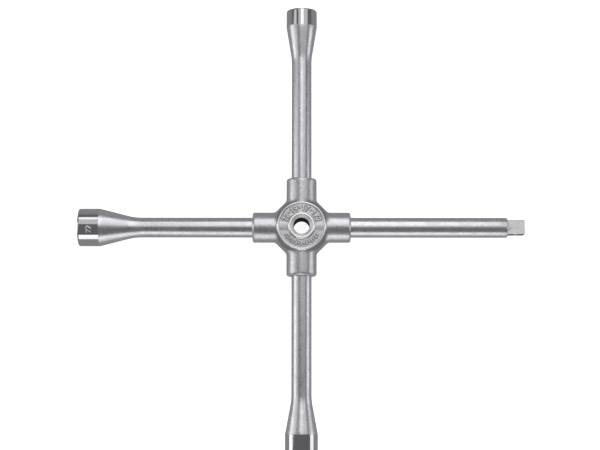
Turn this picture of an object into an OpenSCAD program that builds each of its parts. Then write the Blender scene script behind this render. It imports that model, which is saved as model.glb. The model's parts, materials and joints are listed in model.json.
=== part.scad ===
// Four-way wheel wrench. Four forged bars are pressed into a forged hub:
// three end in hexagon sockets, and one in a square drive with a sprung
// detent ball.
// It lies flat: the hub bore runs along Z, and the origin is the middle of
// that bore. Every length is in millimetres and every angle in degrees.

/* [Arms] */
// Hub centre to the outer end of every arm
arm_reach = 200; // [180:1:230]
// Diameter of the bar that each arm is forged from
bar_d = 18; // [16:0.5:19]
// Hub centre to the inner end of every arm
root_reach = 15; // [14:0.5:20]
// Chamfer on the inner end of every arm
root_chamfer = 1; // [0.5:0.1:1.5]
// Radius that blends the bar into the cone of a socket
cone_blend_r = 55; // [30:1:70]

/* [Sockets] */
// Play between a nut and its socket, measured across flats
nut_play = 0.2; // [0.1:0.05:0.4]
// Depth of the hexagon, as a share of the nut size
hex_depth_share = 0.75; // [0.6:0.05:0.9]
// Depth of the round relief behind it, as a share of the nut size
relief_depth_share = 0.55; // [0.4:0.05:0.6]
// Diameter of that relief, as a share of the width across flats
relief_d_share = 0.94; // [0.85:0.01:0.97]
// Radius of the outer edge at a socket's mouth
mouth_round = 1.6; // [0.8:0.1:2]

/* [22 mm socket] */
// Outer diameter
socket_22_d = 34; // [33:0.2:36]
// Length of the turned barrel
barrel_22 = 19; // [17:0.5:22]
// Length of the cone behind the barrel
cone_22 = 31; // [26:0.5:36]

/* [19 mm socket] */
// Outer diameter
socket_19_d = 29.2; // [28.4:0.2:31]
// Length of the turned barrel
barrel_19 = 15.5; // [15:0.5:20]
// Length of the cone behind the barrel
cone_19 = 30; // [26:0.5:36]

/* [17 mm socket] */
// Outer diameter
socket_17_d = 27.8; // [26:0.2:29]
// Length of the turned barrel
barrel_17 = 15.5; // [14:0.5:18]
// Length of the cone behind the barrel
cone_17 = 29.5; // [26:0.5:36]

/* [Square drive] */
// Width across the flats of the square
square_w = 12.7; // [12.6:0.01:12.7]
// Length of the square
square_l = 14.5; // [13:0.5:15.5]
// Diameter across the broken corners of the square
square_corner_d = 16.9; // [16.5:0.1:17.5]
// Chamfer on the end of the square, at its broken corners
square_chamfer = 0.9; // [0.5:0.1:1.2]
// Length of the chamfer where the bar meets the shoulder
shoulder_chamfer = 1.4; // [1:0.1:2]
// Diameter at the foot of that chamfer
shoulder_d = 14; // [13:0.2:15]
// Length of the tapered neck from the shoulder to the flats
neck_l = 3; // [2:0.5:4]

/* [Detent] */
// Diameter of the ball
ball_d = 4.5; // [4:0.1:5]
// Height of the ball above its flat, which is also its travel
ball_proud = 1.1; // [0.8:0.1:1.2]
// Ball centre to the end of the square
ball_setback = 7.7; // [7:0.1:8.5]
// Gap all round the ball in its pocket
pocket_gap = 0.1; // [0.05:0.01:0.15]
// Depth of the pocket below the flat
pocket_depth = 9; // [8.5:0.1:10]
// Height of the staked lip that keeps the ball in
lip_h = 0.45; // [0.3:0.05:0.5]
// Diameter of the opening that the lip leaves
lip_d = 4.0; // [3.8:0.05:4.1]
// Diameter of the spring wire
wire_d = 0.5; // [0.4:0.05:0.6]
// Outer diameter of the spring
spring_d = 3.8; // [3.6:0.1:4]
// Number of open turns, between one closed turn at each end
open_turns = 3; // [2:1:4]

/* [Hub] */
// Thickness over the two bosses around the bore
hub_t = 30; // [29:0.5:32]
// Diameter of the bore
bore_d = 14.4; // [12:0.2:16]
// Diameter of the countersink at each end of the bore
sink_d = 20; // [18:0.2:20.4]
// Depth of each countersink
sink_depth = 1.9; // [1.5:0.1:3]
// Diameter of the flat land of each boss
boss_d = 22.6; // [21:0.2:24]
// Diameter of each round face, measured over its raised rim
face_d = 43.2; // [42:0.2:44]
// Width of the flat top of that rim
rim_w = 1.1; // [0.8:0.1:1.5]
// Drop from a boss to its rim
rim_drop = 0.3; // [0.2:0.1:0.6]
// Drop from a boss to the sunk field between boss and rim
field_drop = 1.1; // [0.8:0.1:1.2]

/* [Collars and webs] */
// Outer diameter of the collars that hold the arms
collar_d = 27.2; // [26:0.2:27.6]
// Hub centre to the outer end of every collar
collar_reach = 44; // [40:0.5:50]
// Radius of a collar's outer edge
collar_round = 1.8; // [1:0.1:2.5]
// Chamfer on the mouth of a collar's bore
collar_chamfer = 0.5; // [0.3:0.1:1]
// Hub centre to the straight edge of a web
web_reach = 26.4; // [25:0.2:28]
// Thickness of the webs
web_t = 21; // [16:0.5:24]
// Width and height of the bevel along a web's edges
web_bevel = [5.5, 6.5]; // [4:0.5:7]

/* [Hidden] */

bar_r = bar_d / 2;
face_slope = 1.2;        // run of the slopes between field, boss and rim
face_foot_r = 23.2;      // radius at the foot of a face's drafted wall
face_foot_z = 8;         // height of that foot
point_angle = 59;        // half angle of a drill point
mouth_chamfer = 0.6;     // depth of the lead-in of a hexagon
spring_gap = 0.05;       // axial gap at each end of the spring
closed_pitch = 1.12;     // pitch of a closed turn, in wire diameters
ring_steps = 14;         // rings of points in one turn of the spring
wire_sides = 8;          // sides of the spring wire
fine = 96;               // fragments of a full circle

forged = [0.68, 0.68, 0.69];
satin = [0.74, 0.74, 0.76];
polished = [0.85, 0.86, 0.88];
spring_steel = [0.55, 0.55, 0.58];

function nut_flats(size) = size + nut_play;
function nut_corners(size) = nut_flats(size) / cos(30);
function hex_depth(size) = hex_depth_share * size;
function relief_r(size) = relief_d_share * nut_flats(size) / 2;

// Points [radius, height] on an arc about a centre
function arc(centre, r, from, to, steps = 8) = [
    for (i = [0:steps])
        let (a = from + (to - from) * i / steps)
        centre + r * [cos(a), sin(a)]
];

// Turns what stands along Z to lie in the plane of the wrench
module lay(direction) {
    rotate([0, 0, direction]) rotate([0, 90, 0]) children();
}

// A drilled hole that starts at the origin and runs along Z to its point
module drilled(r, depth) {
    cylinder(r = r, h = depth, $fn = fine);
    translate([0, 0, depth])
        cylinder(r1 = r, r2 = 0, h = r / tan(point_angle), $fn = fine);
}

// The inner end of an arm, as profile points
function root_profile() = [
    [0, root_reach],
    [bar_r - root_chamfer, root_reach],
    [bar_r, root_reach + root_chamfer]
];

// ---------------------------------------------------------------- arms

// A bar that swells through a cone to a barrel
module socket_forging(d, barrel, cone) {
    r = d / 2;
    foot = arm_reach - barrel - cone;
    slope = atan((r - bar_r) / cone);
    blend = cone_blend_r * tan(slope / 2);
    rotate_extrude($fn = fine)
        polygon(concat(
            root_profile(),
            arc([bar_r + cone_blend_r, foot - blend], cone_blend_r, 180, 180 - slope),
            [[r, arm_reach - barrel]],
            arc([r - mouth_round, arm_reach - mouth_round], mouth_round, 0, 90),
            [[0, arm_reach]]
        ));
}

// The hexagon, its lead-in and the round relief behind it
module socket_recess(size) {
    depth = hex_depth(size);
    hex_r = nut_corners(size) / 2;
    translate([0, 0, arm_reach]) mirror([0, 0, 1]) {
        translate([0, 0, -1]) rotate(30) cylinder(r = hex_r, h = depth + 1, $fn = 6);
        translate([0, 0, -1])
            cylinder(r1 = hex_r + 1, r2 = hex_r - mouth_chamfer, h = mouth_chamfer + 1, $fn = fine);
        drilled(relief_r(size), depth + relief_depth_share * size);
    }
}

module socket_arm(size, d, barrel, cone) {
    difference() {
        socket_forging(d, barrel, cone);
        socket_recess(size);
    }
}

module arm_22mm() {
    color(satin) lay(180) socket_arm(22, socket_22_d, barrel_22, cone_22);
}

module arm_19mm() {
    color(satin) lay(-90) socket_arm(19, socket_19_d, barrel_19, cone_19);
}

module arm_17mm() {
    color(satin) lay(90) socket_arm(17, socket_17_d, barrel_17, cone_17);
}

// The round bar up to its shoulder and neck
module drive_bar() {
    shoulder = arm_reach - square_l;
    rotate_extrude($fn = fine)
        polygon(concat(root_profile(), [
            [bar_r, shoulder - shoulder_chamfer],
            [shoulder_d / 2, shoulder],
            [square_w / 2 - 0.1, shoulder + neck_l],
            [0, shoulder + neck_l]
        ]));
}

// The square, with its corners and its end broken
module drive_square() {
    r = square_corner_d / 2;
    start = arm_reach - square_l - 1;
    intersection() {
        translate([-square_w / 2, -square_w / 2, start])
            cube([square_w, square_w, square_l + 1]);
        rotate_extrude($fn = fine)
            polygon([
                [0, start],
                [r, start],
                [r, arm_reach - square_chamfer],
                [r - square_chamfer, arm_reach],
                [0, arm_reach]
            ]);
    }
}

// Moves what is drawn from the flat inwards, along Z, to the detent's pocket
module at_pocket() {
    translate([arm_reach - ball_setback, -square_w / 2, 0]) rotate([-90, 0, 0]) children();
}

// The blind pocket of the detent, narrowed at the flat by its staked lip
module pocket() {
    r = ball_d / 2 + pocket_gap;
    translate([0, 0, lip_h]) cylinder(r = r, h = pocket_depth - lip_h, $fn = fine);
    translate([0, 0, -0.01])
        cylinder(r1 = lip_d / 2, r2 = lip_d / 2 + 0.18, h = lip_h + 0.02, $fn = fine);
}

module arm_square_drive() {
    color(satin) difference() {
        lay(0) union() {
            drive_bar();
            drive_square();
        }
        at_pocket() pocket();
    }
}

// -------------------------------------------------------------- detent

module detent_ball() {
    color(polished) at_pocket()
        translate([0, 0, ball_d / 2 - ball_proud]) sphere(d = ball_d, $fn = fine);
}

coil_r = (spring_d - wire_d) / 2;
ball_centre_z = ball_d / 2 - ball_proud;
// Height at which the first turn's wire just clears the ball
seat_z = ball_centre_z + sqrt(pow(ball_d / 2 + wire_d / 2 + spring_gap, 2) - pow(coil_r, 2));
spring_l = pocket_depth - seat_z - wire_d / 2 - spring_gap;
closed_rise = closed_pitch * wire_d;
open_rise = (spring_l - 2 * closed_rise) / open_turns;
total_turns = open_turns + 2;

// Rise of the wire's centre after so many turns
function rise(turn) =
    closed_rise * min(turn, 1)
    + open_rise * max(0, min(turn - 1, open_turns))
    + closed_rise * max(0, turn - 1 - open_turns);

// Ring of points round the wire, in the plane of the coil's radius and axis
function wire_ring(turn) = [
    for (i = [0:wire_sides - 1])
        let (
            a = 360 * i / wire_sides,
            r = coil_r + wire_d / 2 * cos(a)
        )
        [r * cos(360 * turn), r * sin(360 * turn), rise(turn) + wire_d / 2 * sin(a)]
];

module coil_spring() {
    rings = total_turns * ring_steps;
    points = [for (i = [0:rings]) each wire_ring(i / ring_steps)];
    sides = [
        for (i = [0:rings - 1], j = [0:wire_sides - 1])
            let (
                a = i * wire_sides + j,
                b = i * wire_sides + (j + 1) % wire_sides
            )
            [a, b, b + wire_sides, a + wire_sides]
    ];
    first_cap = [for (j = [wire_sides - 1:-1:0]) j];
    last_cap = [for (j = [0:wire_sides - 1]) rings * wire_sides + j];
    polyhedron(points, concat(sides, [first_cap, last_cap]));
}

module detent_spring() {
    color(spring_steel) at_pocket() translate([0, 0, seat_z]) coil_spring();
}

// ----------------------------------------------------------------- hub

// One sleeve that holds an arm, along Z from the hub's centre
module collar() {
    r = collar_d / 2;
    rotate_extrude($fn = fine)
        polygon(concat(
            [[0, 0], [r, 0]],
            arc([r - collar_round, collar_reach - collar_round], collar_round, 0, 90),
            [[0, collar_reach]]
        ));
}

// The blind hole that an arm is pressed into, with a chamfered mouth
module arm_bore() {
    translate([0, 0, root_reach]) cylinder(d = bar_d, h = collar_reach, $fn = fine);
    translate([0, 0, collar_reach - collar_chamfer])
        cylinder(r1 = bar_r, r2 = bar_r + 2 * collar_chamfer, h = 2 * collar_chamfer, $fn = fine);
}

// The upper half of the round body: boss, sunk field, rim and drafted wall
function face_profile() =
    let (
        top = hub_t / 2,
        rim_z = top - rim_drop,
        field_z = top - field_drop,
        rim_r = face_d / 2
    )
    [
        [0, top],
        [boss_d / 2, top],
        [boss_d / 2 + face_slope, field_z],
        [rim_r - rim_w - face_slope / 2, field_z],
        [rim_r - rim_w, rim_z],
        [rim_r, rim_z],
        [face_foot_r, face_foot_z],
        [face_foot_r, 0]
    ];

module round_body() {
    rotate_extrude($fn = fine)
        polygon(concat([[0, 0]], face_profile()));
}

// A long bar with bevelled edges, as wide and thick as the webs
module web_bar() {
    w = web_reach;
    t = web_t / 2;
    outline = [[w, 0], [w, t - web_bevel[1]], [w - web_bevel[0], t]];
    corners = concat(
        outline,
        [for (i = [2:-1:0]) [-outline[i][0], outline[i][1]]],
        [for (i = [1:2]) [-outline[i][0], -outline[i][1]]],
        [for (i = [2:-1:1]) [outline[i][0], -outline[i][1]]]
    );
    rotate([90, 0, 0]) linear_extrude(height = 4 * w, center = true) polygon(corners);
}

// The four webs are what two such bars share where they cross
module webs() {
    intersection() {
        rotate(45) web_bar();
        rotate(-45) web_bar();
    }
}

// The bore and its two countersinks
module hub_bore() {
    cylinder(d = bore_d, h = 2 * hub_t, center = true, $fn = fine);
    growth = (sink_d - bore_d) / 2 / sink_depth;
    for (side = [0, 1]) mirror([0, 0, side])
        translate([0, 0, hub_t / 2 - sink_depth])
            cylinder(d1 = bore_d, d2 = bore_d + 4 * growth * sink_depth, h = 2 * sink_depth, $fn = fine);
}

module hub() {
    color(forged) difference() {
        union() {
            for (direction = [0:90:270]) lay(direction) collar();
            for (side = [0, 1]) mirror([0, 0, side]) round_body();
            webs();
        }
        for (direction = [0:90:270]) lay(direction) arm_bore();
        hub_bore();
    }
}

hub();
arm_22mm();
arm_19mm();
arm_17mm();
arm_square_drive();
detent_spring();
detent_ball();
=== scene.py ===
"""Looks of the four-way wheel wrench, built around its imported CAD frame.

Shapes are worked out in millimetres, as in the CAD model, and turned into metres when a mesh is made.
"""

import json
import math

import bpy
import numpy as np
from mathutils import Matrix, Vector


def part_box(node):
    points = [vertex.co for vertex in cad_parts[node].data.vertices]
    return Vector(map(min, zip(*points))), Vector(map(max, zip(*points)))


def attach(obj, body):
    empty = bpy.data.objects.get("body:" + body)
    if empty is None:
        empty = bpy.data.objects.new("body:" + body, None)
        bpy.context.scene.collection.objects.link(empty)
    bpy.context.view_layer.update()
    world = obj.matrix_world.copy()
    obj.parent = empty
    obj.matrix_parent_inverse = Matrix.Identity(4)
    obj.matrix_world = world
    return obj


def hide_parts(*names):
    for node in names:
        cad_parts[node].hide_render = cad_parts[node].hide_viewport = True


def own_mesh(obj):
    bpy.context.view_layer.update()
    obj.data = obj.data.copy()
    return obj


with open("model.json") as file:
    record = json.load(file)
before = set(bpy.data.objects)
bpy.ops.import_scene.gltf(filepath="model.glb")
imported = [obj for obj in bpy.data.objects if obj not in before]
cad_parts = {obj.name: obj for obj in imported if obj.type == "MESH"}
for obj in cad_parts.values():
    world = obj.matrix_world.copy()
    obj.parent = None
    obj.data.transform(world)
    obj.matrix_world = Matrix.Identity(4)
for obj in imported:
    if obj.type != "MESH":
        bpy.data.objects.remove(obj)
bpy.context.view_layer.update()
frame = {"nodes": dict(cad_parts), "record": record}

MM = 0.001
BODY = "wrench"


def box_mm(node):
    """The low and high corners of a CAD node's box, in millimetres."""
    low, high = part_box(node)
    return [round(v / MM, 2) for v in low], [round(v / MM, 2) for v in high]


# ------------------------------------------------------------ dimensions

drive_low, drive_high = box_mm("arm_square_drive")
hub_low, hub_high = box_mm("hub")
spring_low, spring_high = box_mm("detent_spring")
ball_low, ball_high = box_mm("detent_ball")
mounts = {m["name"]: m for m in frame["record"]["mounts"]}

REACH = round(drive_high[0])                 # hub centre to the end of every arm
ROOT = round(drive_low[0])                   # hub centre to the inner end of every arm
BAR_R = round(drive_high[2])                 # radius of every arm's bar
ROOT_CHAMFER = 1.0
CONE_BLEND_R = 55.0                          # blends the bar into a socket's cone
BARREL_EDGE = 0.35                           # run of the soft edge from cone to barrel
MOUTH_ROUND = 1.6                            # outer edge of a socket's mouth
LABEL_H = 4.6                                # height of the size number stamped in a barrel
LABEL_WIDTH = 0.76                           # its width, as a share of a normal glyph's
LABEL_CELL = 1.0                             # advance from one glyph to the next, in glyph heights
LABEL_PEN = 0.7                              # width of its strokes
LABEL_DEPTH = 0.28
LABEL_BACK = 0.6                             # from the barrel's middle towards the hub
LABEL_ROW = 0.2                              # spacing of the mesh's rows under it
LABEL_TURN = 12                              # degrees from the top of the barrel towards -Y
NUT_PLAY = 0.2                               # added across the flats of a nut
HEX_DEPTH = 0.75                             # of the nut's size
RELIEF_DEPTH = 0.55                          # below the hexagon, of the nut's size
RELIEF_R = 0.94                              # of the hexagon's inner radius
RELIEF_CHAMFER = 0.3
DRILL_POINT = math.radians(59)               # half angle of a drill point

SQUARE = 12.7                                # across the flats
SQUARE_L = 14.5                              # length of the square
SQUARE_CORNER_R = 8.45                       # radius of the broken corners
TIP_CHAMFER = 0.9                            # at the broken corners
TIP_BREAK = 0.15                             # on the flats
SHOULDER_CHAMFER = 1.4                       # where the bar ends
SHOULDER_R = 7.0
NECK_L = 3.0                                 # run of the slope from shoulder to flat
POCKET_GAP = 0.1                             # between the ball and its pocket
LIP_H = 0.45                                 # depth of the staked lip that keeps the ball in
LIP_R = 2.0                                  # its tightest place
LIP_OUTER_R = 2.4
LIP_BACK_R = 2.18

COLLAR_REACH = hub_high[0]                   # hub centre to the end of a collar
COLLAR_R = 13.6
COLLAR_ROUND = 1.8
MOUTH_CHAMFER = 0.6                          # inner edge of a collar's mouth
BOSS_TOP = hub_high[2]
BORE_R = mounts["hub_bore"]["dims"]["r_mm"]
WALL_TOP = mounts["hub_bore"]["dims"]["length_mm"] / 2
SINK_R = 10.0                                # outer edge of a countersink
BOSS_R = 11.3
FACE_SLOPE = 1.2                             # run of the slope from boss to field
RIM_R = 21.6
RIM_W = 1.1
RIM_SLOPE = 0.6                              # run of the slope from field to rim
RIM_TOP = BOSS_TOP - 0.3
FIELD_TOP = BOSS_TOP - 1.1                   # the sunk field between boss and rim
FOOT_R = 23.2                                # foot of the drafted wall round each face
FOOT_Z = 8.0
WEB_REACH = 26.4
WEB_TOP = 10.5
WEB_BEVEL = (5.5, 6.5)                       # width and height of the bevel along a web

FACE_LABEL = "22-19-17-1/2"                  # raised on both faces of the hub
FACE_LABEL_H = 4.3
FACE_LABEL_RISE = 0.45
FACE_LABEL_R = 16.0                          # middle of its ring
FACE_LABEL_BAND = (12.5, 20.2)               # the ring's inner and outer radius
FACE_LABEL_PEN = 0.85
PAINTED_SHADE_PEN = 2.2                              # width of the painted shade round its strokes
TICK_TURN = 8.5                              # degrees from one tick to the next
TICKS_PER_SIDE = 7
TICK_HALF = (1.5, 0.8)                       # half the length of the even and the odd ticks
MAP_STEP = 0.1                               # spacing of the maps of the face label
MAP_HALF = 22.0                              # half the width of those maps

# One row per socket: nut size, CAD node, heading in degrees, outer diameter, barrel and cone lengths, and
# the number stamped in the barrel
SOCKETS = [
    (22, "arm_22mm", 180, 34.0, 19.0, 31.0, "22"),
    (19, "arm_19mm", -90, 29.2, 15.5, 30.0, ""),
    (17, "arm_17mm", 90, 27.8, 15.5, 29.5, ""),
]


# ------------------------------------------------------ numerals as strokes

def arc_points(cx, cy, rx, ry, start, end, steps=10):
    """Points on part of an ellipse, between two angles in degrees."""
    angles = np.radians(np.linspace(start, end, steps + 1))
    return [(cx + rx * math.cos(a), cy + ry * math.sin(a)) for a in angles]


# Each glyph is one pen stroke in a cell 0.6 wide and 1 high
GLYPHS = {
    "1": [(0.14, 0.78), (0.34, 1.0), (0.34, 0.0)],
    "2": arc_points(0.3, 0.71, 0.27, 0.27, 165, -38) + [(0.04, 0.0), (0.58, 0.0)],
    "7": [(0.02, 1.0), (0.56, 1.0), (0.2, 0.0)],
    "9": arc_points(0.3, 0.7, 0.27, 0.28, 0, 360, 16) + arc_points(0.22, 0.62, 0.35, 0.6, 0, -75, 8),
    "/": [(0.08, -0.05), (0.52, 1.05)],
    "-": [(0.3, 0.5), (0.3, 0.52)],
}
CELL = 0.82          # advance from one glyph to the next, in glyph heights
PEN_SOFT = 0.14      # the strokes fade out over twice this


def stroke_segments(text, height, width=1.0, cell=CELL):
    """Start and end points of every segment of a line of text centred on the origin."""
    segments = []
    for i, char in enumerate(text):
        left = (i - (len(text) - 1) / 2) * cell - 0.3
        points = [((left + x) * height * width, (y - 0.5) * height) for x, y in GLYPHS[char]]
        segments += list(zip(points[:-1], points[1:]))
    return np.array(segments)


def stroke_mask(u, v, segments, pen):
    """1 on the strokes and 0 off them, with a soft edge; pen is the stroke's width."""
    nearest = np.full(u.shape, 1e3)
    for (ax, ay), (bx, by) in segments:
        dx, dy = bx - ax, by - ay
        t = np.clip(((u - ax) * dx + (v - ay) * dy) / (dx * dx + dy * dy + 1e-12), 0, 1)
        nearest = np.minimum(nearest, np.hypot(u - ax - t * dx, v - ay - t * dy))
    return smooth_step((pen / 2 + PEN_SOFT - nearest) / (2 * PEN_SOFT))


def smooth_step(t):
    """Rises smoothly from 0 to 1 as t does."""
    t = np.clip(t, 0, 1)
    return t * t * (3 - 2 * t)


# ---------------------------------------------------------- mesh helpers

def make_piece(name, points, faces, nodes, sharp_deg=None, attributes=None):
    """A mesh in millimetres becomes a smooth-shaded piece that stands for CAD nodes."""
    mesh = bpy.data.meshes.new(name)
    mesh.from_pydata((np.asarray(points) * MM).tolist(), [], faces)
    mesh.polygons.foreach_set("use_smooth", np.ones(len(mesh.polygons), bool))
    if sharp_deg:
        mesh.set_sharp_from_angle(angle=math.radians(sharp_deg))
    for key, values in (attributes or {}).items():
        kind = "FLOAT_VECTOR" if values.ndim == 2 else "FLOAT"
        field = mesh.attributes.new(key, kind, "POINT")
        field.data.foreach_set("vector" if values.ndim == 2 else "value", values.astype(np.float32).ravel())
    mesh.validate()
    piece = bpy.data.objects.new(name, mesh)
    bpy.context.scene.collection.objects.link(piece)
    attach(piece, BODY)
    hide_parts(*nodes)
    return piece


def ring_faces(rings, columns):
    """Quads between closed rings, with a fan to a pole before the first and after the last."""
    faces = []
    first, last = 0, rings * columns + 1
    for j in range(columns):
        k = (j + 1) % columns
        faces.append((first, 1 + k, 1 + j))
        faces.append((1 + (rings - 1) * columns + j, 1 + (rings - 1) * columns + k, last))
    for i in range(rings - 1):
        a, b = 1 + i * columns, 1 + (i + 1) * columns
        faces += [(a + j, a + (j + 1) % columns, b + (j + 1) % columns, b + j) for j in range(columns)]
    return faces


def arm_mesh(rows, theta, heading):
    """Points, faces and grain coordinates of a closed turned shape along an arm.

    Each row is (distance from the hub, radius), where either may vary with theta. Theta turns from the
    arm's side direction towards +Z.
    """
    h = math.radians(heading)
    out = np.array([math.cos(h), math.sin(h), 0])
    side = np.array([-math.sin(h), math.cos(h), 0])
    up = np.array([0, 0, 1.0])
    ones = np.ones_like(theta)
    along = np.array([s * ones for s, r in rows])
    radius = np.array([r * ones for s, r in rows])
    local = np.stack([along, radius * np.cos(theta), radius * np.sin(theta)], axis=-1).reshape(-1, 3)
    start = [[float(np.mean(along[0])), 0, 0]]
    end = [[float(np.mean(along[-1])), 0, 0]]
    local = np.concatenate([start, local, end])
    points = local[:, :1] * out + local[:, 1:2] * side + local[:, 2:] * up
    return points, ring_faces(len(rows), len(theta)), local


def boolean_cut(piece, cutter):
    """Cuts a closed mesh out of a piece and bakes the result into the piece's mesh."""
    modifier = piece.modifiers.new("cut", "BOOLEAN")
    modifier.operation = "DIFFERENCE"
    modifier.solver = "EXACT"
    modifier.object = cutter
    graph = bpy.context.evaluated_depsgraph_get()
    cut = bpy.data.meshes.new_from_object(piece.evaluated_get(graph))
    piece.modifiers.clear()
    piece.data = cut
    bpy.data.objects.remove(cutter)


# ------------------------------------------------------------ socket arms

def arc_rows(s, r, radius, start, end, steps):
    """Rows on an arc about (s, r): angle 0 points away from the axis and 90 towards the arm's end."""
    return [
        (s + radius * math.sin(math.radians(a)), r + radius * math.cos(math.radians(a)))
        for a in np.linspace(start, end, steps + 1)
    ]


def root_rows():
    """The chamfered inner end of an arm."""
    return [(ROOT, BAR_R - ROOT_CHAMFER), (ROOT + ROOT_CHAMFER, BAR_R)]


def straight_rows(s0, s1, r0, r1, step):
    """Evenly spaced rows strictly between two places on a straight stretch."""
    count = max(int(abs(s1 - s0) / step), 1)
    return [(s0 + (s1 - s0) * i / count, r0 + (r1 - r0) * i / count) for i in range(1, count)]


def numeral_columns():
    """Angles round an arm: every hexagon corner, and closely spaced across the top for the number."""
    sixty = math.radians(60)
    coarse = np.linspace(0, sixty, 25)[:-1]
    fine = np.linspace(0, sixty, 97)[:-1]
    return np.concatenate([coarse, sixty + fine] + [k * sixty + coarse for k in (2, 3, 4, 5)])


def recess_rows(size, theta):
    """From the mouth inwards: lead-in, hexagon, step, stud relief and drill point."""
    apothem = (size + NUT_PLAY) / 2
    corner = apothem / math.cos(math.radians(30))
    sixty = math.radians(60)
    hexagon = apothem / np.cos((theta % sixty) - sixty / 2)
    bottom = REACH - HEX_DEPTH * size
    relief = RELIEF_R * apothem
    relief_end = bottom - RELIEF_DEPTH * size
    return [
        (REACH, corner + 0.02),
        (REACH - 0.02 - (corner - hexagon), hexagon),
        (bottom, hexagon),
        (bottom, relief + RELIEF_CHAMFER),
        (bottom - RELIEF_CHAMFER, relief),
        (relief_end, relief),
        (relief_end - 0.5 * relief / math.tan(DRILL_POINT), 0.5 * relief),
        (relief_end - 0.99 * relief / math.tan(DRILL_POINT), 0.01 * relief),
    ]


def socket_arm(size, node, heading, diameter, barrel, cone, number):
    """An arm with a socket: bar, cone, polished barrel and the recess for the nut."""
    r = diameter / 2
    theta = numeral_columns()
    foot = REACH - barrel - cone
    barrel_start = REACH - barrel
    slope = math.atan((r - BAR_R) / cone)
    blend = CONE_BLEND_R * math.tan(slope / 2)
    blend_end = foot - blend + CONE_BLEND_R * math.sin(slope)
    blend_end_r = BAR_R + CONE_BLEND_R * (1 - math.cos(slope))
    edge_start = (barrel_start - BARREL_EDGE, r - BARREL_EDGE * math.tan(slope))

    rows = root_rows()
    rows += straight_rows(ROOT + ROOT_CHAMFER, foot - blend, BAR_R, BAR_R, 8)
    rows += [
        (foot - blend + CONE_BLEND_R * math.sin(a), BAR_R + CONE_BLEND_R * (1 - math.cos(a)))
        for a in np.linspace(0, slope, 10)
    ]
    rows += straight_rows(blend_end, edge_start[0], blend_end_r, edge_start[1], 2.5)
    rows += [edge_start, (barrel_start - 0.08, r - 0.05), (barrel_start + 0.1, r)]
    turned = len(rows)
    rows += straight_rows(barrel_start + 0.1, REACH - MOUTH_ROUND, r, r, LABEL_ROW)
    polished_end = len(rows)
    rows += arc_rows(REACH - MOUTH_ROUND, r - MOUTH_ROUND, MOUTH_ROUND, 0, 90, 8)
    mouth = len(rows)

    label = stroke_segments(number, LABEL_H, LABEL_WIDTH, LABEL_CELL)
    centre = barrel_start + barrel / 2 - LABEL_BACK
    around = r * (theta - math.radians(90 - LABEL_TURN))
    columns = len(theta)
    shine = np.ones((mouth - turned, columns))
    for i in range(turned, polished_end):
        s = rows[i][0]
        stamped = stroke_mask(around, np.full_like(theta, s - centre), label, LABEL_PEN)
        rows[i] = (s, r - LABEL_DEPTH * stamped)
        shine[i - turned] = 1 - stamped
    rows += recess_rows(size, theta)

    points, faces, grain = arm_mesh(rows, theta, heading)
    polish = np.zeros(len(points))
    polish[1 + turned * columns:1 + mouth * columns] = shine.ravel()
    inside = np.zeros(len(points))
    inside[1 + (mouth + 1) * columns:] = 1.0
    return make_piece(
        f"socket_arm_{size}", points, faces, [node], 30,
        {"grain": grain, "polish": polish, "inside": inside},
    )


# ------------------------------------------------------------- drive arm

def square_columns():
    """Angles round the square, with the ends of every broken corner among them."""
    edge = math.acos(SQUARE / 2 / SQUARE_CORNER_R)
    quarter = math.radians(90)
    flat = np.linspace(-edge, edge, 41)[:-1]
    corner = np.linspace(edge, quarter - edge, 7)[:-1]
    return np.concatenate([k * quarter + np.concatenate([flat, corner]) for k in range(4)])


def square_radius(theta):
    """Radius of the square with its broken corners, at each angle."""
    quarter = math.radians(90)
    off = (theta + quarter / 2) % quarter - quarter / 2
    return np.minimum(SQUARE / 2 / np.cos(off), SQUARE_CORNER_R)


def drive_arm():
    """The arm that ends in a square, with the detent's pocket cut in it."""
    theta = square_columns()
    flat = square_radius(theta)
    shoulder = REACH - SQUARE_L
    cone_start = shoulder - SHOULDER_CHAMFER
    foot_r = np.maximum(flat, SHOULDER_R)
    foot = cone_start + SHOULDER_CHAMFER * (BAR_R - foot_r) / (BAR_R - SHOULDER_R)
    neck = shoulder + NECK_L * (SHOULDER_R - flat) / (SHOULDER_R - SQUARE / 2 + 0.1)
    neck = np.maximum(neck, foot + 0.3)
    tip_cut = np.maximum(flat - (SQUARE_CORNER_R - TIP_CHAMFER), TIP_BREAK)
    tip = REACH - tip_cut

    rows = root_rows()
    rows += straight_rows(ROOT + ROOT_CHAMFER, cone_start, BAR_R, BAR_R, 8)
    rows += [(cone_start - 0.25, BAR_R), (cone_start + 0.02, BAR_R - 0.05)]
    turned = len(rows)
    rows += [(foot, foot_r), (neck, flat)]
    rows += [(neck + (tip - neck) * t, flat) for t in (0.33, 0.67)]
    rows += [(tip, flat), (REACH, flat - tip_cut)]
    points, faces, grain = arm_mesh(rows, theta, 0)
    arm = make_piece("square_drive_arm", points, faces, ["arm_square_drive"], 20)
    boolean_cut(arm, pocket_cutter())
    add_grain(arm, turned_end=cone_start)
    return arm


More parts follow.
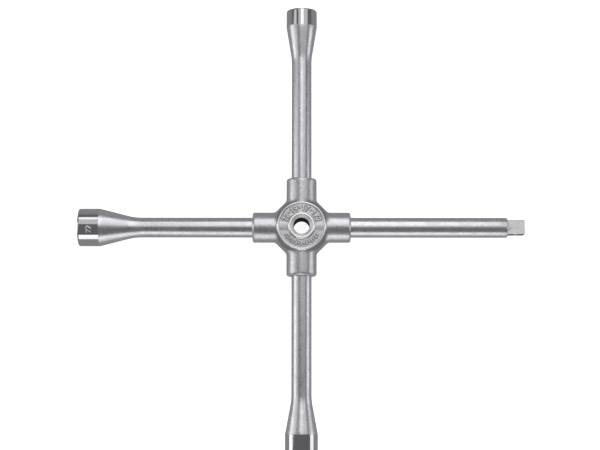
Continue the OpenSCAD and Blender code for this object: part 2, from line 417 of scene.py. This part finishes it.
def pocket_cutter():
    """The detent's pocket as a closed turned solid that runs in from the -Y flat."""
    x = (ball_low[0] + ball_high[0]) / 2
    pocket_r = (ball_high[0] - ball_low[0]) / 2 + POCKET_GAP
    bottom = spring_high[1] + 0.05
    mouth = -SQUARE / 2
    over = 0.5
    profile = [
        (mouth - over, LIP_OUTER_R), (mouth - 0.02, LIP_OUTER_R), (mouth + 0.05, LIP_R),
        (mouth + LIP_H, LIP_BACK_R), (mouth + LIP_H + 0.05, pocket_r), (bottom, pocket_r),
    ]
    theta = np.radians(np.arange(0, 360, 5))
    points = [[x, mouth - over, 0]]
    for y, r in profile:
        points += [[x + r * math.cos(a), y, -r * math.sin(a)] for a in theta]
    points += [[x, bottom, 0]]
    mesh = bpy.data.meshes.new("pocket_cutter")
    mesh.from_pydata((np.array(points) * MM).tolist(), [], ring_faces(len(profile), len(theta)))
    cutter = bpy.data.objects.new("pocket_cutter", mesh)
    bpy.context.scene.collection.objects.link(cutter)
    return cutter


def add_grain(arm, turned_end):
    """Grain coordinates, and masks of the milled square and of its -Y flat, which is coloured dark, for a
    mesh along +X.
    """
    mesh = arm.data
    co = np.zeros(len(mesh.vertices) * 3, np.float32)
    mesh.vertices.foreach_get("co", co)
    co = co.reshape(-1, 3) / MM
    mesh.set_sharp_from_angle(angle=math.radians(20))
    grain = mesh.attributes.new("grain", "FLOAT_VECTOR", "POINT")
    grain.data.foreach_set("vector", co.ravel())
    on_square = co[:, 0] > turned_end + 0.4
    milled = mesh.attributes.new("milled", "FLOAT", "POINT")
    milled.data.foreach_set("value", on_square.astype(np.float32))
    # Mask of the square's -Y flat, which the material colours a dark grey
    dark_y_flat = mesh.attributes.new("dark_y_flat", "FLOAT", "POINT")
    dark_y_flat.data.foreach_set("value", (on_square & (co[:, 1] < 0.01 - SQUARE / 2)).astype(np.float32))


# ------------------------------------------------------------------- hub

def rounded_max(a, b, radius):
    """Intersection of two shapes' distances, with a round outer edge."""
    return np.minimum(np.maximum(a, b), -radius) + np.hypot(
        np.maximum(a + radius, 0), np.maximum(b + radius, 0))


def rounded_min(a, b, radius):
    """Union of two shapes' distances, with a round fillet between them."""
    return -rounded_max(-a, -b, radius)


def label_map(pen):
    """1 on the numbers and ticks of a hub face and 0 off them, over a square grid."""
    axis = np.arange(-MAP_HALF, MAP_HALF + MAP_STEP, MAP_STEP)
    x, y = np.meshgrid(axis, axis, indexing="ij")
    radius = np.hypot(x, y)
    height = np.zeros_like(x)
    band = (radius > FACE_LABEL_BAND[0]) & (radius < FACE_LABEL_BAND[1])
    turn = (math.radians(90) - np.arctan2(y[band], x[band]) + math.pi) % (2 * math.pi) - math.pi
    v = radius[band] - FACE_LABEL_R
    upper = stroke_mask(turn * FACE_LABEL_R, v, stroke_segments(FACE_LABEL, FACE_LABEL_H), pen)
    lower_turn = (turn + 2 * math.pi) % (2 * math.pi) - math.pi
    ticks = np.zeros_like(upper)
    for i in range(-TICKS_PER_SIDE, TICKS_PER_SIDE + 1):
        half = TICK_HALF[i % 2]
        u = (lower_turn - math.radians(TICK_TURN * i)) * FACE_LABEL_R
        ticks = np.maximum(ticks, stroke_mask(u, v, np.array([[(0, -half), (0, half)]]), pen))
    height[band] = np.maximum(upper, ticks)
    return height


NUMBERS = label_map(FACE_LABEL_PEN)
# A wider map of the numbers, for the painted shade round their strokes
SHADE_ROUND_NUMBERS = label_map(PAINTED_SHADE_PEN)


def read_map(label, x, y, z):
    """Reads a map of the numbers at points near either hub face, between its grid points."""
    y = np.where(z < 0, -y, y)
    fx = np.clip((x + MAP_HALF) / MAP_STEP, 0, label.shape[0] - 1.001)
    fy = np.clip((y + MAP_HALF) / MAP_STEP, 0, label.shape[1] - 1.001)
    i, j = fx.astype(int), fy.astype(int)
    tx, ty = fx - i, fy - j
    low = label[i, j] * (1 - tx) + label[i + 1, j] * tx
    high = label[i, j + 1] * (1 - tx) + label[i + 1, j + 1] * tx
    return low * (1 - ty) + high * ty


def hub_distance(x, y, z):
    """Roughly the distance from the forged hub's surface, negative inside the metal."""
    ax, ay, az = np.abs(x), np.abs(y), np.abs(z)
    radius = np.hypot(x, y)
    rho_x, rho_y = np.hypot(y, z), np.hypot(x, z)

    collar_x = rounded_max(rho_x - COLLAR_R, ax - COLLAR_REACH, COLLAR_ROUND)
    collar_y = rounded_max(rho_y - COLLAR_R, ay - COLLAR_REACH, COLLAR_ROUND)

    bevel_w, bevel_h = WEB_BEVEL
    bevel_l = math.hypot(bevel_w, bevel_h)
    web = az - WEB_TOP
    for across in ((ax + ay) / math.sqrt(2), np.abs(ax - ay) / math.sqrt(2)):
        edge = across - WEB_REACH
        bevel = (edge * bevel_h + (az - WEB_TOP + bevel_h) * bevel_w) / bevel_l
        web = rounded_max(web, rounded_max(edge, bevel, 2.0), 1.2)

    draft = (FOOT_R - RIM_R) / (RIM_TOP - FOOT_Z)
    wall = (radius - FOOT_R + np.maximum(az - FOOT_Z, 0) * draft) / math.hypot(1, draft)
    boss = smooth_step((BOSS_R + FACE_SLOPE - radius) / FACE_SLOPE)
    rim = smooth_step((radius - (RIM_R - RIM_W - RIM_SLOPE)) / RIM_SLOPE)
    top = FIELD_TOP + (BOSS_TOP - FIELD_TOP) * boss + (RIM_TOP - FIELD_TOP) * rim
    top = top + FACE_LABEL_RISE * read_map(NUMBERS, x, y, z)
    puck = rounded_max(wall, (az - top) * 0.8, 0.45)

    solid = rounded_min(collar_x, collar_y, 2.0)
    solid = rounded_min(solid, web, 1.4)
    solid = rounded_min(solid, puck, 1.1)

    sink = BORE_R + (SINK_R - BORE_R) * (az - WALL_TOP) / (BOSS_TOP - WALL_TOP)
    hole = np.minimum(radius - BORE_R, (radius - sink) * 0.7)
    solid = rounded_max(solid, -hole, 0.3)
    for rho, reach in ((rho_x, ax), (rho_y, ay)):
        mouth = np.maximum(reach - (COLLAR_REACH - MOUTH_CHAMFER), 0)
        socket = np.maximum(rho - BAR_R - 0.02 - mouth, ROOT - reach)
        solid = np.maximum(solid, -socket)
    return solid


def graded_axis(stretches):
    """Grid lines from 0 outwards in stretches of (end, step), mirrored to the other side."""
    lines = [0.0]
    for end, step in stretches:
        count = max(round((end - lines[-1]) / step), 1)
        lines += list(np.linspace(lines[-1], end, count + 1)[1:])
    lines = np.array(lines)
    return np.concatenate([-lines[:0:-1], lines])


def surface_net(distance, xs, ys, zs):
    """Vertices and quads of the surface where distance is 0, one vertex per grid cell it crosses."""
    value = distance(xs[:, None, None], ys[None, :, None], zs[None, None, :])
    inside = value < 0
    corners = [(i, j, k) for i in (0, 1) for j in (0, 1) for k in (0, 1)]
    shape = tuple(n - 1 for n in value.shape)
    count = np.zeros(shape, np.int8)
    for i, j, k in corners:
        count += inside[i:i + shape[0], j:j + shape[1], k:k + shape[2]]
    cells = np.argwhere((count > 0) & (count < 8))
    index = np.full(shape, -1, np.int64)
    index[tuple(cells.T)] = np.arange(len(cells))

    total = np.zeros((len(cells), 3))
    crossings = np.zeros(len(cells))
    for a in corners:
        for axis in range(3):
            if a[axis]:
                continue
            b = tuple(1 if n == axis else a[n] for n in range(3))
            ia, ib = cells + a, cells + b
            va, vb = value[tuple(ia.T)], value[tuple(ib.T)]
            cross = (va < 0) != (vb < 0)
            t = np.where(cross, va / np.where(cross, va - vb, 1), 0)[:, None]
            pa = np.stack([xs[ia[:, 0]], ys[ia[:, 1]], zs[ia[:, 2]]], axis=1)
            pb = np.stack([xs[ib[:, 0]], ys[ib[:, 1]], zs[ib[:, 2]]], axis=1)
            total += np.where(cross[:, None], pa + (pb - pa) * t, 0)
            crossings += cross
    points = total / crossings[:, None]

    quads = []
    for axis in range(3):
        u, v = (axis + 1) % 3, (axis + 2) % 3
        low = [slice(None)] * 3
        high = [slice(None)] * 3
        low[axis], high[axis] = slice(0, -1), slice(1, None)
        first, second = inside[tuple(low)], inside[tuple(high)]
        edges = np.argwhere(first != second)
        keep = (edges[:, u] > 0) & (edges[:, v] > 0)
        keep &= (edges[:, u] < value.shape[u] - 1) & (edges[:, v] < value.shape[v] - 1)
        edges = edges[keep]
        leaving = first[tuple(edges.T)]
        ring = []
        for du, dv in ((0, 0), (-1, 0), (-1, -1), (0, -1)):
            cell = edges.copy()
            cell[:, u] += du
            cell[:, v] += dv
            ring.append(index[tuple(cell.T)])
        ring = np.stack(ring, axis=1)
        ring[~leaving] = ring[~leaving][:, ::-1]
        quads.append(ring)
    return points, np.concatenate(quads)


def pull_to_surface(points, distance, reach, rounds=3):
    """Moves points onto the surface where distance is 0, each at most reach per round."""
    step = 0.02
    for _ in range(rounds):
        x, y, z = points.T
        value = distance(x, y, z)
        slope = np.stack([
            distance(x + step, y, z) - distance(x - step, y, z),
            distance(x, y + step, z) - distance(x, y - step, z),
            distance(x, y, z + step) - distance(x, y, z - step),
        ], axis=1) / (2 * step)
        steep = (slope ** 2).sum(axis=1)
        move = -value[:, None] * slope / np.maximum(steep, 0.2)[:, None]
        length = np.linalg.norm(move, axis=1)[:, None]
        points = points + move * np.minimum(1, reach / np.maximum(length, 1e-9))
    return points


def hub():
    """The forged hub, meshed finely over its faces and more coarsely along the collars."""
    plan = graded_axis([(23.4, 0.4), (COLLAR_REACH + 0.6, 1.1)])
    height = graded_axis([(12.4, 0.9), (BOSS_TOP + 0.75, 0.32)])
    points, quads = surface_net(hub_distance, plan, plan, height)
    points = pull_to_surface(points, hub_distance, 0.15)
    return make_piece("forged_hub", points, quads.tolist(), ["hub"],
                      attributes={"grain": points, "highlight_and_wear": highlight_and_wear_mask(points), "sink": in_sink(points),
                                  "painted_shade": painted_shade_mask(points)})


def highlight_and_wear_mask(points):
    """1 on the hub's rim, boss, numbers and collar ends, which are worn smoother and carry a painted
    highlight, and 0 elsewhere.
    """
    x, y, z = np.abs(points).T
    radius = np.hypot(x, y)
    on_top = smooth_step((z - RIM_TOP + 1.2) / 0.8)
    rim = smooth_step((radius - RIM_R + RIM_W + 0.3) / 0.4) * smooth_step((RIM_R + 0.5 - radius) / 0.6)
    boss = smooth_step((radius - SINK_R + 0.1) / 0.4) * smooth_step((BOSS_R + 0.8 - radius) / 0.6)
    number = smooth_step((z - FIELD_TOP - 0.25) / 0.15) * (radius > 12.8) * (radius < 19.8)
    collar = smooth_step((np.maximum(x, y) - COLLAR_REACH + COLLAR_ROUND) / 1.2)
    return np.maximum(on_top * np.maximum(rim, boss), np.maximum(0.5 * collar, 0.8 * number))


def in_sink(points):
    """1 on the countersinks and 0 elsewhere."""
    x, y, z = np.abs(points).T
    radius = np.hypot(x, y)
    return smooth_step((z - WALL_TOP + 0.3) / 0.4) * smooth_step((SINK_R + 0.1 - radius) / 0.3)


def painted_shade_mask(points):
    """Painted shade: 1 on the bore's wall, less around the numbers and each round face, and 0 elsewhere."""
    x, y, z = points.T
    around = read_map(SHADE_ROUND_NUMBERS, x, y, z) * smooth_step((FIELD_TOP + 0.4 - np.abs(z)) / 0.3)
    radius, z = np.hypot(x, y), np.abs(z)
    around = around * (z > FIELD_TOP - 0.5)
    wall = (radius < BORE_R + 0.6) * smooth_step((WALL_TOP - 0.1 - z) / 0.4)
    corner = smooth_step((FOOT_R + 2.8 - radius) / 2.6) * smooth_step((RIM_TOP - 0.9 - z) / 1.5)
    corner = corner * (radius > RIM_R - 0.6)
    return np.maximum(wall, np.maximum(0.4 * corner, 0.4 * around))


# ---------------------------------------------------------------- detent

def detent_spring():
    """The coil spring: round wire, a closed turn and a squared tip at each end."""
    wire_r = 0.25
    coil_r = (spring_high[0] - spring_low[0]) / 2 - wire_r
    x = (spring_low[0] + spring_high[0]) / 2
    start = spring_low[1] + wire_r
    length = spring_high[1] - spring_low[1] - 2 * wire_r
    closed = 1.12 * 2 * wire_r
    open_turns = 3
    per_turn, sides = 40, 14
    turns = np.arange((open_turns + 2) * per_turn + 1) / per_turn
    middle = np.clip(turns - 1, 0, open_turns) * (length - 2 * closed) / open_turns
    rise = closed * (np.minimum(turns, 1) + np.maximum(turns - 1 - open_turns, 0)) + middle
    around = np.radians(np.arange(sides) * 360 / sides)
    points = []
    for turn, height in zip(turns, rise):
        a = 2 * math.pi * turn
        r = coil_r + wire_r * np.cos(around)
        along = start + height + wire_r * np.sin(around)
        ring = np.stack([x + r * math.cos(a), along, -r * math.sin(a)], axis=1)
        points.append(ring)
    first, last = points[0].mean(axis=0), points[-1].mean(axis=0)
    points = np.concatenate([[first], np.concatenate(points), [last]])
    faces = [face[::-1] for face in ring_faces(len(turns), sides)]
    spring = make_piece("detent_coil_spring", points, faces, ["detent_spring"],
                        40, {"grain": points})
    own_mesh(spring)
    return spring


# ------------------------------------------------------------- materials

class Nodes:
    """A short way to add and link shader nodes."""

    def __init__(self, name):
        """Starts a material with a plain principled shader."""
        self.material = bpy.data.materials.new(name)
        self.material.use_nodes = True
        self.tree = self.material.node_tree
        self.shader = self.tree.nodes["Principled BSDF"]

    def add(self, kind, inputs=None, **settings):
        """Adds a node; an input is a value or another node's output. Returns the first output."""
        node = self.tree.nodes.new("ShaderNode" + kind)
        for key, value in settings.items():
            setattr(node, key, value)
        for key, value in (inputs or {}).items():
            if isinstance(value, bpy.types.NodeSocket):
                self.tree.links.new(value, node.inputs[key])
            else:
                node.inputs[key].default_value = value
        return node.outputs[0]

    def attribute(self, name, output):
        """Reads a mesh attribute: output 1 is a vector and output 2 a number."""
        node = self.tree.nodes.new("ShaderNodeAttribute")
        node.attribute_name = name
        return node.outputs[output]

    def noise(self, vector, scale, detail=2.0):
        """Noise from 0 to 1. Scale holds one size per direction, in features per millimetre."""
        scaled = self.add("VectorMath", {0: vector, 1: scale}, operation="MULTIPLY")
        return self.add("TexNoise", {"Vector": scaled, "Scale": 1.0, "Detail": detail, "Roughness": 0.55})

    def math(self, operation, a, b):
        """One step of arithmetic on two numbers."""
        return self.add("Math", {0: a, 1: b}, operation=operation)

    def spread(self, value, low, high):
        """Stretches a value from 0.3..0.7, where noise mostly lies, to low..high."""
        return self.add("MapRange", {"Value": value, "From Min": 0.3, "From Max": 0.7,
                                     "To Min": low, "To Max": high})

    def mix(self, share, a, b):
        """Mixes two numbers."""
        return self.add("Mix", {0: share, 2: a, 3: b}, data_type="FLOAT")

    def tone(self, share, dark, light):
        """Mixes two colours, each a tuple or another node's output."""
        node = self.tree.nodes.new("ShaderNodeMix")
        node.data_type = "RGBA"
        self.tree.links.new(share, node.inputs[0])
        for socket, colour in ((node.inputs[6], dark), (node.inputs[7], light)):
            if isinstance(colour, bpy.types.NodeSocket):
                self.tree.links.new(colour, socket)
            else:
                socket.default_value = (*colour, 1)
        return node.outputs[2]

    def bump(self, height, distance_mm):
        """A bumped normal."""
        node = self.tree.nodes.new("ShaderNodeBump")
        node.inputs["Distance"].default_value = distance_mm * MM
        self.tree.links.new(height, node.inputs["Height"])
        return node.outputs[0]

    def finish(self, colour, roughness, normal):
        """Makes the shader a metal with these looks."""
        self.shader.inputs["Metallic"].default_value = 1.0
        for key, value in (("Base Color", colour), ("Roughness", roughness), ("Normal", normal)):
            self.tree.links.new(value, self.shader.inputs[key])
        return self.material


def arm_material():
    """Satin chrome with fine lines ground round the bars, and polished barrels."""
    n = Nodes("satin_and_polished_chrome")
    grain = n.attribute("grain", 1)
    polish = n.attribute("polish", 2)
    inside = n.attribute("inside", 2)
    milled = n.attribute("milled", 2)
    dark_y_flat = n.attribute("dark_y_flat", 2)
    lines = n.noise(grain, (6.0, 0.25, 0.25), 3)
    mottle = n.noise(grain, (0.16, 0.2, 0.2), 3)
    speck = n.noise(grain, (1.6, 1.6, 1.6), 2)
    satin = n.math("ADD", n.spread(lines, -0.035, 0.035), n.spread(mottle, 0.25, 0.36))
    satin = n.math("ADD", satin, n.math("MULTIPLY", milled, 0.2))
    satin = n.math("ADD", satin, n.math("MULTIPLY", inside, 0.12))
    mirror = n.spread(mottle, 0.06, 0.11)
    roughness = n.mix(polish, satin, mirror)
    colour = n.tone(n.spread(speck, 0, 1), (0.60, 0.60, 0.63), (0.70, 0.70, 0.73))
    colour = n.tone(polish, colour, (0.60, 0.60, 0.625))
    bare = n.tone(n.spread(mottle, 0, 1), (0.78, 0.78, 0.79), (0.96, 0.96, 0.96))
    colour = n.tone(milled, colour, bare)
    # The -Y flat of the square is coloured a dark grey
    colour = n.tone(dark_y_flat, colour, (0.20, 0.20, 0.21))
    relief = n.math("ADD", n.math("MULTIPLY", lines, 0.3), n.math("MULTIPLY", mottle, 0.9))
    relief = n.math("ADD", relief, n.math("MULTIPLY", speck, 0.2))
    dull = n.math("SUBTRACT", 1.0, n.math("MULTIPLY", polish, 0.85))
    return n.finish(colour, roughness, n.bump(n.math("MULTIPLY", relief, dull), 0.05))


def hub_material():
    """Satin chrome over a forged skin, with soft hollows and fine pits, a painted highlight on worn edges,
    and painted shade in the bore, the corners and round the numbers.
    """
    n = Nodes("satin_chrome_forging")
    grain = n.attribute("grain", 1)
    skin = n.noise(grain, (0.35, 0.35, 0.35), 3)
    pits = n.noise(grain, (1.8, 1.8, 1.8), 3)
    highlight_and_wear = n.attribute("highlight_and_wear", 2)
    sink = n.attribute("sink", 2)
    roughness = n.math("ADD", n.spread(skin, 0.27, 0.37), n.spread(pits, -0.03, 0.05))
    roughness = n.mix(highlight_and_wear, roughness, 0.26)
    roughness = n.mix(sink, roughness, 0.55)
    painted_shade = n.attribute("painted_shade", 2)
    roughness = n.mix(painted_shade, roughness, 0.8)
    forged = n.tone(n.spread(pits, 0, 1), (0.57, 0.57, 0.595), (0.69, 0.69, 0.715))
    # Painted highlight: the rim, boss, number tops and collar ends are lightened nearly to white; their
    # lower roughness and softer bump stand for wear
    colour = n.tone(highlight_and_wear, forged, (0.94, 0.94, 0.95))
    colour = n.tone(sink, colour, (0.9, 0.9, 0.91))
    # Painted shade: the bore's wall is darkened nearly to black, and the corner round each face and the
    # ground round the numbers partly so
    colour = n.tone(painted_shade, colour, (0.03, 0.03, 0.033))
    relief = n.math("ADD", skin, n.math("MULTIPLY", pits, 0.5))
    relief = n.math("MULTIPLY", relief, n.math("SUBTRACT", 1.0, n.math("MULTIPLY", highlight_and_wear, 0.7)))
    return n.finish(colour, roughness, n.bump(relief, 0.14))


def plain_metal(name, dark, light, rough, scale):
    """A small part's metal, with drawn or lapped marks. It reads the mesh's own coordinates."""
    n = Nodes(name)
    place = n.add("VectorMath", {0: n.tree.nodes.new("ShaderNodeTexCoord").outputs["Object"],
                                 1: (1000, 1000, 1000)}, operation="MULTIPLY")
    marks = n.noise(place, scale, 3)
    colour = n.tone(n.spread(marks, 0, 1), dark, light)
    return n.finish(colour, n.spread(marks, *rough), n.bump(marks, 0.01))


# ------------------------------------------------------- stage and camera

def floor():
    """A pale table that touches the largest socket and the hub, so it slopes a little under the wrench."""
    socket_low = min(box_mm(node)[0][2] for _, node, *_ in SOCKETS)
    resting_at = REACH - 10
    slope = math.atan((hub_low[2] - socket_low) / resting_at)
    size = 6.0
    mesh = bpy.data.meshes.new("floor")
    corners = [(-size, -size, 0), (size, -size, 0), (size, size, 0), (-size, size, 0)]
    mesh.from_pydata(corners, [], [(0, 1, 2, 3)])
    table = bpy.data.objects.new("floor", mesh)
    table.location = (0, 0, (hub_low[2] - BOSS_R * math.tan(slope)) * MM)
    table.rotation_euler = (0, -slope, 0)
    bpy.context.scene.collection.objects.link(table)
    n = Nodes("pale_table")
    n.shader.inputs["Base Color"].default_value = (0.9, 0.9, 0.9, 1)
    n.shader.inputs["Roughness"].default_value = 0.9
    n.shader.inputs["Emission Color"].default_value = (1, 1, 1, 1)
    n.shader.inputs["Emission Strength"].default_value = 0.9
    mesh.materials.append(n.material)
    table.visible_glossy = False
    table.visible_shadow = False


def studio():
    """White for the camera, and a graded grey studio for what the metal reflects."""
    world = bpy.data.worlds.new("studio")
    bpy.context.scene.world = world
    world.use_nodes = True
    tree = world.node_tree
    tree.nodes.clear()
    new, link = tree.nodes.new, tree.links.new
    place = new("ShaderNodeTexCoord")
    split = new("ShaderNodeSeparateXYZ")
    link(place.outputs["Generated"], split.inputs[0])
    ramp = new("ShaderNodeMapRange")
    ramp.interpolation_type = "SMOOTHSTEP"
    ramp.inputs["From Min"].default_value = -0.05
    ramp.inputs["From Max"].default_value = 0.4
    ramp.inputs["To Min"].default_value = 0.43
    ramp.inputs["To Max"].default_value = 0.21
    link(split.outputs["Z"], ramp.inputs["Value"])
    seen = new("ShaderNodeBackground")
    seen.inputs["Color"].default_value = (1, 1, 1, 1)
    reflected = new("ShaderNodeBackground")
    link(ramp.outputs[0], reflected.inputs["Strength"])
    path = new("ShaderNodeLightPath")
    choose = new("ShaderNodeMixShader")
    link(path.outputs["Is Camera Ray"], choose.inputs[0])
    link(reflected.outputs[0], choose.inputs[1])
    link(seen.outputs[0], choose.inputs[2])
    out = new("ShaderNodeOutputWorld")
    link(choose.outputs[0], out.inputs[0])


def soft_light(name, turn, side, distance, size, strength):
    """A panel that faces the wrench, as bright as a white wall times strength.

    Turn is its angle from overhead towards +Y, and side its angle from that plane towards +X.
    """
    turn, side = math.radians(turn), math.radians(side)
    width, height = size
    light = bpy.data.lights.new(name, "AREA")
    light.shape = "RECTANGLE"
    light.size, light.size_y = width, height
    light.energy = math.pi * width * height * strength
    lamp = bpy.data.objects.new(name, light)
    outward = Vector((math.sin(side), math.cos(side) * math.sin(turn), math.cos(side) * math.cos(turn)))
    across = Vector((math.cos(side), -math.sin(side) * math.sin(turn), -math.sin(side) * math.cos(turn)))
    lamp.rotation_euler = Matrix((across, outward.cross(across), outward)).transposed().to_euler()
    lamp.location = outward * distance
    lamp.visible_camera = False
    bpy.context.scene.collection.objects.link(lamp)


def camera():
    """Nearly square on, leaning 8 degrees from overhead towards -Y."""
    target = Vector((-1.4, 2.4, 0)) * MM
    elevation = math.radians(82)
    distance = 1.49
    roll = math.radians(0.05)
    lens = bpy.data.cameras.new("camera")
    lens.lens = 99.4
    lens.sensor_width = 36
    lens.clip_end = 50
    view = bpy.data.objects.new("camera", lens)
    place = target + distance * Vector((0, -math.cos(elevation), math.sin(elevation)))
    turn = (target - place).to_track_quat("-Z", "Y").to_matrix().to_4x4()
    view.matrix_world = Matrix.Translation(place) @ turn @ Matrix.Rotation(roll, 4, "Z")
    bpy.context.scene.collection.objects.link(view)
    bpy.context.scene.camera = view


# ----------------------------------------------------------------- build

camera()
studio()
floor()
soft_light("key", 42, 3, 1.3, (0.52, 1.1), 1.6)
soft_light("overhead", 12, 0, 1.3, (0.6, 0.35), 1.1)
soft_light("back_right", 42, 28, 1.3, (0.6, 1.1), 0.6)
soft_light("back_left", 28, -17, 1.25, (0.25, 0.65), 0.6)
soft_light("back_left_edge", 50, -17, 1.2, (0.25, 0.3), 1.35)
soft_light("front", -74, 0, 1.3, (1.2, 0.42), 1.35)
soft_light("front_left", -60, -18, 1.25, (0.35, 0.24), 1.6)
soft_light("front_low", -94, 8, 1.3, (0.8, 0.5), 0.75)
soft_light("left_side", 0, -79, 1.3, (0.68, 0.7), 1.45)
soft_light("right_side", 0, 78, 1.3, (0.66, 0.6), 1.2)
soft_light("left_high", 15, -50, 1.3, (0.6, 0.7), 0.75)
soft_light("right_high", 10, 30, 1.3, (0.6, 0.5), 0.55)

steel = arm_material()
for socket in SOCKETS:
    socket_arm(*socket).data.materials.append(steel)
drive = drive_arm()
drive.data.materials.clear()
drive.data.materials.append(steel)
hub().data.materials.append(hub_material())
detent_spring().data.materials.append(
    plain_metal("spring_wire", (0.30, 0.30, 0.33), (0.45, 0.45, 0.48), (0.25, 0.4), (3, 3, 3)))
ball = frame["nodes"]["detent_ball"]
ball.data.materials.clear()
ball.data.materials.append(
    plain_metal("bearing_steel", (0.70, 0.70, 0.72), (0.78, 0.78, 0.80), (0.06, 0.12), (1.5, 1.5, 1.5)))

scene = bpy.context.scene
scene.view_settings.view_transform = "Standard"
